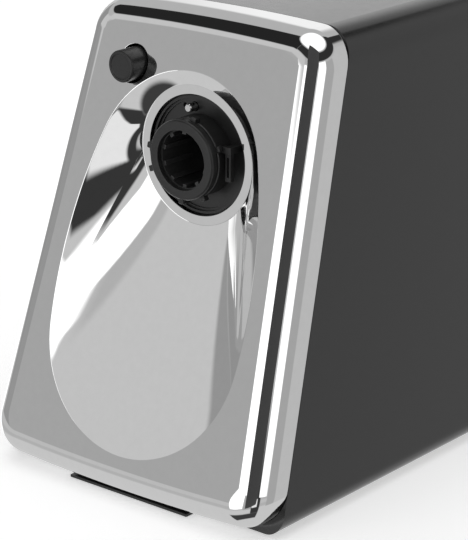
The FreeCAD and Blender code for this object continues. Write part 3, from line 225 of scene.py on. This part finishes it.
finish_material(
    "chrome_plate", grey(0.84), grey(0.86), (0.012, 0.026), metallic=1.0, grain_scale=260.0,
    dust=0.015,
)
finish_material(
    "gloss_black", grey(0.008), grey(0.012), (0.16, 0.22), grain_scale=700.0,
    bump=0.08, bump_size=0.00005, dust=0.02, coat=0.3, coat_rough=0.12,
)
finish_material(
    "matte_black", grey(0.010), grey(0.016), (0.32, 0.42), grain_scale=900.0,
    bump=0.2, bump_size=0.00005, wear_and_highlight=0.4, wear_and_highlight_colour=grey(0.06), dust=0.02,
)
finish_material(
    "dark_nylon", grey(0.02), grey(0.032), (0.38, 0.5), grain_scale=700.0, bump=0.3,
    wear_and_highlight=0.5, wear_and_highlight_colour=grey(0.1),
)
finish_material(
    "white_nylon", (0.70, 0.69, 0.64), (0.78, 0.77, 0.72), (0.35, 0.5), grain_scale=500.0, bump=0.2,
)
finish_material(
    "grey_plastic", grey(0.16), grey(0.2), (0.4, 0.55), grain_scale=600.0, bump=0.3,
)
finish_material(
    "rubber", grey(0.012), grey(0.022), (0.6, 0.8), grain_scale=900.0, bump=0.5,
    dust=0.1, wear_and_highlight=0.5, wear_and_highlight_colour=grey(0.07),
)
finish_material(
    "zinc_steel", (0.52, 0.53, 0.55), (0.66, 0.67, 0.68), (0.25, 0.4), metallic=1.0,
    grain_scale=500.0, bump=0.2, wear_and_highlight=0.4, wear_and_highlight_colour=grey(0.8),
)
finish_material(
    "pin_steel", grey(0.72), grey(0.82), (0.1, 0.2), metallic=1.0, grain_scale=1200.0, bump=0.1,
)
finish_material(
    "bronze", (0.45, 0.27, 0.12), (0.56, 0.36, 0.18), (0.3, 0.45), metallic=1.0,
    grain_scale=800.0, bump=0.4,
)
finish_material(
    "lamination_steel", (0.20, 0.20, 0.21), (0.30, 0.30, 0.31), (0.4, 0.55), metallic=1.0,
    grain_scale=600.0, bump=0.4,
)
finish_material(
    "copper_wire", (0.50, 0.20, 0.08), (0.66, 0.30, 0.14), (0.25, 0.4), metallic=1.0,
    grain_scale=800.0, bump=0.5,
)
finish_material(
    "copper_bars", (0.55, 0.25, 0.12), (0.70, 0.38, 0.22), (0.2, 0.35), metallic=1.0,
    grain_scale=600.0, bump=0.1,
)
finish_material(
    "cast_bracket", (0.38, 0.39, 0.40), (0.48, 0.49, 0.50), (0.45, 0.6), metallic=1.0,
    grain_scale=350.0, bump=0.6,
)
finish_material(
    "carbon", grey(0.02), grey(0.04), (0.5, 0.7), grain_scale=900.0, bump=0.4,
)
finish_material(
    "board_green", (0.01, 0.07, 0.03), (0.02, 0.11, 0.05), (0.3, 0.45), grain_scale=300.0, bump=0.1,
)
# Every CAD node takes the finish of the record's slot that lists it.
for entry in frame["record"]["subparts"]:
    name = entry["node"]
    nodes[name].data.materials.clear()
    nodes[name].data.materials.append(FINISHES[entry["material_slot"]])


# ---------------------------------------------------------------- modelling helpers
MM = 0.001
SMOOTH_ANGLE = math.radians(35)


def leave():
    """Go back to object mode, if needed."""
    if bpy.context.mode != "OBJECT":
        bpy.ops.object.mode_set(mode="OBJECT")


def select(*pieces):
    """Leave edit mode and select only these pieces, the first of them active."""
    leave()
    bpy.ops.object.select_all(action="DESELECT")
    for piece in pieces:
        piece.select_set(True)
    bpy.context.view_layer.objects.active = pieces[0]


def begin(kind, **settings):
    """Add a primitive, alone in the selection, and enter edit mode with all of it selected."""
    leave()
    bpy.ops.object.select_all(action="DESELECT")
    getattr(bpy.ops.mesh, f"primitive_{kind}_add")(**settings)
    piece = bpy.context.active_object
    bpy.ops.object.transform_apply(location=True, rotation=True, scale=True)
    bpy.ops.object.mode_set(mode="EDIT")
    bpy.ops.mesh.select_mode(type="VERT")
    bpy.ops.mesh.select_all(action="SELECT")
    return piece


def edit(piece):
    select(piece)
    bpy.ops.object.mode_set(mode="EDIT")


def pick(piece, kind, test):
    """Select the vertices, edges or faces of the mesh in edit mode that pass a test."""
    bpy.ops.mesh.select_mode(type={"verts": "VERT", "edges": "EDGE", "faces": "FACE"}[kind])
    bpy.ops.mesh.select_all(action="DESELECT")
    mesh = bmesh.from_edit_mesh(piece.data)
    mesh.normal_update()
    for item in [item for item in getattr(mesh, kind) if test(item)]:
        item.select_set(True)
    mesh.select_flush_mode()
    bmesh.update_edit_mesh(piece.data)


def weld(threshold):
    """Merge all vertices of the mesh in edit mode that lie closer than this."""
    bpy.ops.mesh.select_all(action="SELECT")
    bpy.ops.mesh.remove_doubles(threshold=threshold)


def apply(piece, kind, **settings):
    """Give a piece a modifier and apply it."""
    select(piece)
    step = piece.modifiers.new(kind.lower(), kind)
    for name, value in settings.items():
        setattr(step, name, value)
    bpy.ops.object.modifier_apply(modifier=step.name)


def done(piece, name, slot, body, stands_for):
    """Smooth-shade a finished piece, give it its finish and let it ride on its body."""
    select(piece)
    bpy.ops.object.transform_apply(location=True, rotation=True, scale=True)
    bpy.ops.object.shade_smooth_by_angle(angle=SMOOTH_ANGLE)
    apply(piece, "WEIGHTED_NORMAL", keep_sharp=True)
    piece.name = name
    piece.data.materials.clear()
    piece.data.materials.append(FINISHES[slot])
    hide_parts(stands_for)
    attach(piece, body)


# ---------------------------------------------------------------- sizes, in millimetres
# The front leans back by TILT from its foot; the sides lean in by SIDE_SLOPE.
TILT = math.radians(17.64)
SIDE_SLOPE = math.tan(math.radians(4.21))
FRONT_FOOT, FOOT, TOP, HALF_WIDTH = -136.643, 2.0, 229.3, 89.9
NORMAL = Vector((0, -math.cos(TILT), math.sin(TILT)))
UPHILL = Vector((0, math.sin(TILT), math.cos(TILT)))

COVER_DEPTH, COVER_SKIN = 20.2, 2.5
CORNER_ROUND, FRONT_ROUND, LIP_ROUND = 19, 14, 0.25
ROOF_CROWN, FLOOR_BOW = 2.2, 2.6
ARCHED_HALF, ARCH_CUTS = 50, 11

# The oval scoop is four arcs: small ones below and above, large ones at the sides.
SCOOP_FOOT, SCOOP_HALF = 22.7, 60.3
SCOOP_LOW_R, SCOOP_TOP_R, SCOOP_SIDE_R = 59.5, 50.5, 250.0

LAND_Y, HUB_Z = -70.543, 161.9
LAND_RADIUS, LAND_OPENING = 34.9, 30.3
HUB = Vector((0, LAND_Y, HUB_Z)) * MM

TUBE_REACH, TUBE_RADIUS, TUBE_MOUTH, TUBE_LIP = 12.0, 19.9, 14.8, 2.6
TUBE_BORE, TUBE_NECK, TUBE_SHOULDER, TUBE_END = 17.3, 19.4, 3.9, 20.0
LUG_WIDTH, LUG_HEIGHT, LUG_ROUND = 3.2, 3, 0.5
# Each lug: where it sits round the tube in degrees, its distance from the tube's end, its length.
LUGS = ((169, 0.5, 5), (201, 0.5, 5), (268, 0.8, 6), (296, 5, 3.5), (22, 4, 3), (75, 3, 4))

BUTTON_X, BUTTON_Z, BUTTON_REACH = -38.2, 202.2, 9.4
BUTTON_RADIUS, BUTTON_HOLE, BUTTON_STEM = 8.0, 9.3, 5


def side_x(z):
    return HALF_WIDTH - (z - FOOT) * SIDE_SLOPE


def front_y(z):
    return FRONT_FOOT + (z - FOOT) * math.tan(TILT)


def on_slope(across, along, out=0.0):
    """Point of the tilted front, from the middle of its foot, in metres."""
    return (Vector((across, FRONT_FOOT, FOOT)) + UPHILL * along + NORMAL * out) * MM


def rise(x, half, crown):
    """Height of a shallow arc above its ends."""
    radius = (half**2 + crown**2) / (2 * crown)
    return math.sqrt(radius**2 - x**2) - (radius - crown)


# ---------------------------------------------------------------- chromed front
def arch(piece, floor):
    """Cut roof and floor across, and lift the cuts so that both bulge a little."""
    columns = [-ARCHED_HALF + 2 * ARCHED_HALF * n / (ARCH_CUTS - 1) for n in range(ARCH_CUTS)]
    for x in columns:
        bpy.ops.mesh.select_all(action="SELECT")
        bpy.ops.mesh.bisect(plane_co=(x * MM, 0, 0), plane_no=(1, 0, 0))
    for x in columns:
        for level, lift in (
            (TOP, rise(x, side_x(TOP), ROOF_CROWN)),
            (floor, -rise(x, side_x(floor), FLOOR_BOW)),
        ):
            # The slide up the slope keeps the front flat.
            pick(piece, "verts", lambda v: (
                abs(v.co.x - x * MM) < 1e-6 and abs(v.co.z - level * MM) < 1e-5
            ))
            bpy.ops.transform.translate(value=(0, lift * math.tan(TILT) * MM, lift * MM))


def round_corners(piece, high):
    """Round the two upper or the two lower edges that run from front to back."""
    turns = []

    def is_corner(edge):
        a, b = (v.co for v in edge.verts)
        level = abs((a - b).z) <= 0.001 and abs((a - b).y) >= 0.01
        if not level or abs(a.x) < 0.06 or (a.z > 0.1) != high:
            return False
        turns.append(edge.calc_face_angle())
        return True

    pick(piece, "edges", is_corner)
    bpy.ops.mesh.bevel(
        offset=CORNER_ROUND * math.tan(turns[0] / 2) * MM, segments=14, profile=0.5,
        affect="EDGES",
    )


def cover_block():
    """Solid of the cover between its tilted front and its back, in edit mode."""
    floor = FOOT + FLOOR_BOW
    piece = begin("cube", size=1.0)
    for x, y, z in product((-1, 1), repeat=3):
        height = floor if z < 0 else TOP
        depth = front_y(height) + (COVER_DEPTH if y > 0 else 0)
        goal = Vector((x * side_x(height), depth, height)) * MM
        here = Vector((x, y, z)) * 0.5
        pick(piece, "verts", lambda v: (v.co - here).length < 1e-4)
        bpy.ops.transform.translate(value=goal - here)
    arch(piece, floor)
    for high in (False, True):
        round_corners(piece, high)
    return piece


def round_front(piece, radius, is_front):
    """Round the loop of edges round a flat end to one radius, whatever the angle at each edge."""
    leave()
    mesh = bmesh.new()
    mesh.from_mesh(piece.data)
    mesh.normal_update()
    widths = {}
    for edge in mesh.edges:
        ends = [is_front(face) for face in edge.link_faces]
        if len(ends) == 2 and ends[0] != ends[1]:
            widths[edge.index] = radius * math.tan(edge.calc_face_angle() / 2)
    mesh.free()
    widest = max(widths.values())
    weights = piece.data.attributes.new("bevel_weight_edge", "FLOAT", "EDGE")
    for index, width in widths.items():
        weights.data[index].value = width / widest
    apply(piece, "BEVEL", limit_method="WEIGHT", width=widest * MM, segments=14,
          use_clamp_overlap=False, offset_type="OFFSET")
    if "bevel_weight_edge" in piece.data.attributes:
        piece.data.attributes.remove(piece.data.attributes["bevel_weight_edge"])


def closed_line(start, axis, arcs):
    """Closed line of arcs; each is (centre, angle, steps), turned from the last point."""
    piece = begin("plane", size=0.001, location=start)
    bpy.ops.mesh.merge(type="CENTER")
    for centre, angle, steps in arcs:
        bpy.ops.mesh.spin(steps=steps, angle=-angle, center=centre, axis=axis)
    weld(0.00002)
    leave()
    return piece


def scoop_and_land():
    """Outline of the scoop on the slope and of the land inside it, with matching points."""
    away = SCOOP_SIDE_R - SCOOP_HALF
    low = SCOOP_FOOT + SCOOP_LOW_R
    side = low + math.sqrt((SCOOP_SIDE_R - SCOOP_LOW_R) ** 2 - away**2)
    top = side + math.sqrt((SCOOP_SIDE_R - SCOOP_TOP_R) ** 2 - away**2)
    low_turn, top_turn = math.atan2(low - side, away), math.atan2(top - side, away)
    sweep = top_turn - low_turn
    angles = (sweep, math.pi - 2 * top_turn, sweep, math.pi + 2 * low_turn)
    steps = (48, 40, 48, 40)
    across, along = math.cos(low_turn), math.sin(low_turn)

    middles = (on_slope(-away, side), on_slope(0, top), on_slope(away, side), on_slope(0, low))
    start = on_slope(across * SCOOP_LOW_R, low + along * SCOOP_LOW_R)
    scoop = closed_line(start, NORMAL, zip(middles, angles, steps))
    start = HUB + Vector((across, 0, along)) * LAND_RADIUS * MM
    land = closed_line(start, Vector((0, -1, 0)), zip((HUB,) * 4, angles, steps))
    return scoop, land


def button_hole():
    """Short tube for the button, cut off flush with the tilted front."""
    hole = begin("circle", vertices=48, radius=BUTTON_HOLE * MM, rotation=(math.pi / 2, 0, 0),
                 location=(BUTTON_X * MM, -0.09, BUTTON_Z * MM))
    bpy.ops.mesh.extrude_region_move(TRANSFORM_OT_translate={"value": (0, 0.033, 0)})
    bpy.ops.mesh.select_all(action="SELECT")
    bpy.ops.mesh.bisect(plane_co=on_slope(0, 0), plane_no=NORMAL, clear_outer=True)
    return hole


def on_front(vertex):
    return abs((vertex.co - on_slope(0, 0)).dot(NORMAL)) < 2e-5


def on_land(vertex):
    return abs(vertex.co.y - LAND_Y * MM) < 1e-6


def in_one(edge):
    """Whether an edge lies wholly in the flat front or wholly in the land."""
    return all(map(on_front, edge.verts)) or all(map(on_land, edge.verts))


def is_lip(edge):
    """Whether an edge is on the lip of the scoop, the land or the button's hole."""
    if len(edge.link_faces) != 2 or abs(edge.verts[0].co.x) >= 0.0612:
        return False
    return edge.calc_face_angle() > math.radians(12) and in_one(edge)


def make_cover():
    """Chromed front: rounded shell, scoop, land and button hole, as one skin with thickness."""
    shell = cover_block()
    round_front(shell, FRONT_ROUND, lambda face: face.normal.dot(NORMAL) > 0.999)
    edit(shell)
    pick(shell, "faces", lambda f: abs(f.normal.dot(NORMAL)) > 0.999)
    bpy.ops.mesh.delete(type="FACE")
    scoop, land = scoop_and_land()
    select(shell, scoop, land, button_hole())
    bpy.ops.object.join()
    edit(shell)
    pick(shell, "edges", lambda e: not e.link_faces and in_one(e))
    bpy.ops.mesh.bridge_edge_loops(number_cuts=12, interpolation="LINEAR")
    pick(shell, "edges", lambda e: e.is_boundary and all(map(on_front, e.verts)))
    bpy.ops.mesh.fill(use_beauty=True)
    # The land's flat ring reaches inwards from its rim.
    pick(shell, "edges", lambda e: e.is_boundary and all(map(on_land, e.verts)))
    bpy.ops.mesh.extrude_edges_move()
    share = LAND_OPENING / LAND_RADIUS
    bpy.ops.transform.resize(value=(share, 1, share), center_override=HUB)
    weld(0.00001)
    bpy.ops.mesh.normals_make_consistent(inside=False)
    mesh = bmesh.from_edit_mesh(shell.data)
    mesh.normal_update()
    front = [face for face in mesh.faces if all(map(on_front, face.verts))]
    if sum(face.calc_area() * face.normal.dot(NORMAL) for face in front) < 0:
        bpy.ops.mesh.flip_normals()
    pick(shell, "edges", is_lip)
    bpy.ops.mesh.bevel(offset=LIP_ROUND * MM, segments=2, profile=0.5, affect="EDGES")
    apply(shell, "SOLIDIFY", thickness=COVER_SKIN * MM, offset=-1, use_even_offset=False)
    done(shell, "chrome_front", "chrome_plate", "base", "front_cover")


# ---------------------------------------------------------------- coupling and button
def turned(profile, centre, steps, soft):
    """Round piece about a line along Y, its edges softened.

    profile is a closed line of (radius, depth) and soft the width of the edges, in millimetres.
    """
    def spot(radius, depth):
        return Vector((centre[0] + radius, centre[1] + depth, centre[2])) * MM

    here = spot(*profile[0])
    piece = begin("plane", size=0.001, location=here)
    bpy.ops.mesh.merge(type="CENTER")
    for radius, depth in (*profile[1:], profile[0]):
        there = spot(radius, depth)
        bpy.ops.mesh.extrude_region_move(TRANSFORM_OT_translate={"value": there - here})
        here = there
    weld(0.000005)
    bpy.ops.mesh.spin(
        steps=steps, angle=2 * math.pi, center=Vector(centre) * MM, axis=(0, 1, 0)
    )
    weld(0.000005)
    bpy.ops.mesh.normals_make_consistent(inside=False)
    pick(piece, "edges", lambda e: (
        len(e.link_faces) == 2 and e.calc_face_angle() > math.radians(28)
    ))
    bpy.ops.mesh.bevel(offset=soft * MM, segments=3, profile=0.5, affect="EDGES")
    leave()
    return piece


def make_lug(degrees, start, length):
    turn = math.radians(degrees)
    middle = TUBE_RADIUS + 0.75
    depth = LAND_Y - TUBE_REACH + start + length / 2
    spot = Vector((math.cos(turn) * middle, depth, HUB_Z + math.sin(turn) * middle)) * MM
    lug = begin("cube", size=1.0)
    bpy.ops.transform.resize(value=(LUG_WIDTH * MM, length * MM, LUG_HEIGHT * MM))
    pick(lug, "edges", lambda e: True)
    bpy.ops.mesh.bevel(offset=LUG_ROUND * MM, segments=3, profile=0.5, affect="EDGES")
    leave()
    lug.matrix_world = Matrix.Translation(spot) @ Matrix.Rotation(-turn, 4, "Y")
    bpy.ops.object.transform_apply(location=True, rotation=True, scale=True)
    return lug


def make_coupling():
    """Fixed tube that the grinding head slides over, with its lugs and a shallow groove."""
    end, lip = -TUBE_REACH, TUBE_LIP - TUBE_REACH
    groove = TUBE_RADIUS - 0.25
    tube = turned((
        (TUBE_MOUTH, end), (TUBE_RADIUS - 0.8, end), (TUBE_RADIUS, end + 0.8),
        (TUBE_RADIUS, end + 4.2), (groove, end + 4.5), (groove, end + 5.1),
        (TUBE_RADIUS, end + 5.4), (TUBE_RADIUS, TUBE_SHOULDER), (TUBE_NECK, TUBE_SHOULDER),
        (TUBE_NECK, TUBE_END), (TUBE_BORE, TUBE_END), (TUBE_BORE, lip), (TUBE_MOUTH, lip),
    ), (0, LAND_Y, HUB_Z), steps=96, soft=0.3)
    select(tube, *(make_lug(*lug) for lug in LUGS))
    bpy.ops.object.join()
    done(tube, "coupling", "matte_black", "base", "coupling_tube")


def make_button():
    """Release button with a shallow dished face inside a rounded rim, on a stem."""
    dish, stem_from, stem_to = 0.45, 19, 24
    button = turned((
        (0, dish), (6.1, dish), (6.5, 0.0), (7.4, 0.0), (BUTTON_RADIUS, 0.6),
        (BUTTON_RADIUS, stem_from), (BUTTON_STEM, stem_from), (BUTTON_STEM, stem_to), (0, stem_to),
    ), (BUTTON_X, front_y(BUTTON_Z) - BUTTON_REACH, BUTTON_Z), steps=72, soft=0.25)
    done(button, "release_knob", "matte_black", "release", "release_button")


make_cover()
make_coupling()
make_button()


# ---------------------------------------------------------------- camera, floor and light
CAMERA_LENS, CAMERA_AZIMUTH, CAMERA_ELEVATION = 157.57, 39.589, 18.509
CAMERA_SPOT = (0.715680, -0.907635, 0.472127)
FLOOR_SIZE, FLOOR_GLOW = 12.0, 0.5


def make_camera():
    """Long lens, ahead of the object on its right and a little above it."""
    data = bpy.data.cameras.new("camera")
    data.sensor_width = 36.0
    data.lens = CAMERA_LENS
    data.clip_start, data.clip_end = 0.05, 50.0
    camera = bpy.data.objects.new("camera", data)
    bpy.context.scene.collection.objects.link(camera)
    azimuth, elevation = math.radians(CAMERA_AZIMUTH), math.radians(CAMERA_ELEVATION)
    back = Vector((
        math.sin(azimuth) * math.cos(elevation),
        -math.cos(azimuth) * math.cos(elevation),
        math.sin(elevation),
    ))
    camera.location = CAMERA_SPOT
    camera.rotation_mode = "QUATERNION"
    camera.rotation_quaternion = (-back).to_track_quat("-Z", "Y")
    bpy.context.scene.camera = camera


def make_floor():
    """Plain pale table top, lit a little more for the camera so that it stays pale."""
    bpy.ops.mesh.primitive_plane_add(size=FLOOR_SIZE, location=(0, 0, 0))
    floor = bpy.context.active_object
    floor.name = "floor"
    floor.visible_glossy = False
    made = bpy.data.materials.new("pale_floor")
    made.use_nodes = True
    tree = made.node_tree
    shader = tree.nodes["Principled BSDF"]
    shader.inputs["Base Color"].default_value = (0.85, 0.85, 0.85, 1.0)
    shader.inputs["Roughness"].default_value = 0.7
    glow = add(tree, "ShaderNodeEmission")
    glow.inputs["Strength"].default_value = FLOOR_GLOW
    seen = add(tree, "ShaderNodeLightPath")
    both = add(tree, "ShaderNodeAddShader")
    either = add(tree, "ShaderNodeMixShader")
    link(tree, shader.outputs[0], both.inputs[0])
    link(tree, glow.outputs[0], both.inputs[1])
    link(tree, seen.outputs["Is Camera Ray"], either.inputs[0])
    link(tree, shader.outputs[0], either.inputs[1])
    link(tree, both.outputs[0], either.inputs[2])
    link(tree, either.outputs[0], tree.nodes["Material Output"].inputs["Surface"])
    floor.data.materials.append(made)


# Boards round the object: (from azimuth, to azimuth, from height, to height, softness, brightness).
# Angles are in degrees, azimuth 0 is ahead of the object and 90 on its right. Later boards lie
# over earlier ones.
BOARDS = (
    (-200, 200, -95, -27, 5, 0.64),
    (-200, 200, -18, -8, 3, 0.57),
    (-200, 200, 3, 24, 3, 0.62),
    (-136, -106, -26, -6, 4, 1.3),
    (-112, -79, -8, 24, 2, 0.32),
    (-79, -50, -8, 10, 2, 0.34),
    (-50, -34, -8, 20, 1, 0.425),
    (-34, -3, -24, 22, 1, 1.5),
    (-58, -10, 17, 34, 5, 0.62),
    (-6, 20, 4, 23, 2, 1.5),
    (1, 28, 11, 29, 2, 1.5),
    (0, 26, -28, 2, 5, 0.40),
    (26, 56, -44, 9, 3, 0.04),
    (28, 46, -26, -4, 3, 0.9),
    (-45, 56, -64, -43, 5, 0.05),
    (-93, -36, 34, 58, 3, 0.02),
    (-36, 180, 36, 57, 3, 0.03),
    (51, 79, 0, 33, 3, 1.4),
    (80, 113, -30, 30, 3, 0.42),
    (113, 200, -30, 32, 3, 0.55),
    (-175, -138, 5, 34, 8, 1.0),
    (-200, 200, 60, 95, 4, 1.3),
)
STUDIO_GREY = 0.5


def black_board(name, across, along, out, width, height):
    """Black board parallel to the tilted front, leaning with the side, that only shine mirrors."""
    bpy.ops.mesh.primitive_plane_add(size=1.0)
    board = bpy.context.active_object
    board.name = name
    board.matrix_world = (
        Matrix.Translation(on_slope(across, along, out))
        @ Matrix.Rotation(math.atan(SIDE_SLOPE), 4, NORMAL)
        @ Matrix.Rotation(math.pi / 2 - TILT, 4, "X")
        @ Matrix.Diagonal((width * MM, height * MM, 1, 1))
    )
    made = bpy.data.materials.new(name)
    made.use_nodes = True
    shader = made.node_tree.nodes["Principled BSDF"]
    shader.inputs["Base Color"].default_value = (0.0, 0.0, 0.0, 1.0)
    shader.inputs["Emission Color"].default_value = (1.0, 1.0, 1.0, 1.0)
    shader.inputs["Emission Strength"].default_value = 0.04
    board.data.materials.append(made)
    board.visible_camera = board.visible_diffuse = board.visible_shadow = False


def make_world():
    """Light studio with white, grey and black boards for the chrome to mirror."""
    world = bpy.data.worlds.new("studio")
    bpy.context.scene.world = world
    world.use_nodes = True
    tree = world.node_tree
    way = add(tree, "ShaderNodeTexCoord")
    split = add(tree, "ShaderNodeSeparateXYZ")
    link(tree, way.outputs["Generated"], split.inputs[0])
    ahead = math_node(tree, "MULTIPLY", split.outputs["Y"], -1.0)
    turn = math_node(tree, "ARCTAN2", split.outputs["X"], ahead)
    azimuth = math_node(tree, "MULTIPLY", turn, 180 / math.pi)
    lift = math_node(tree, "ARCSINE", split.outputs["Z"])
    height = math_node(tree, "MULTIPLY", lift, 180 / math.pi)

    def side(value, low, high):
        node = add(tree, "ShaderNodeMapRange", interpolation_type="SMOOTHSTEP")
        node.inputs["From Min"].default_value = low
        node.inputs["From Max"].default_value = high
        link(tree, value, node.inputs["Value"])
        return node.outputs[0]

    level = None
    for az0, az1, el0, el1, soft, bright in BOARDS:
        half = soft / 2
        sides = (
            side(azimuth, az0 - half, az0 + half),
            side(azimuth, az1 + half, az1 - half),
            side(height, el0 - half, el0 + half),
            side(height, el1 + half, el1 - half),
        )
        mask = sides[0]
        for other in sides[1:]:
            mask = math_node(tree, "MULTIPLY", mask, other)
        blend = add(tree, "ShaderNodeMix", data_type="FLOAT")
        link(tree, mask, blend.inputs["Factor"])
        if level is None:
            blend.inputs["A"].default_value = STUDIO_GREY
        else:
            link(tree, level, blend.inputs["A"])
        blend.inputs["B"].default_value = bright
        level = blend.outputs[0]
    studio = tree.nodes["Background"]
    link(tree, level, studio.inputs["Strength"])
    studio.inputs["Color"].default_value = (1, 1, 1, 1)
    plain = add(tree, "ShaderNodeBackground")
    plain.inputs["Strength"].default_value = 1.0
    seen = add(tree, "ShaderNodeLightPath")
    either = add(tree, "ShaderNodeMixShader")
    link(tree, seen.outputs["Is Camera Ray"], either.inputs[0])
    link(tree, studio.outputs[0], either.inputs[1])
    link(tree, plain.outputs[0], either.inputs[2])
    link(tree, either.outputs[0], tree.nodes["World Output"].inputs["Surface"])


make_camera()
make_floor()
make_world()
black_board("board_ahead", across=93, along=135, out=35, width=41, height=300)
bpy.context.scene.view_settings.view_transform = "Standard"
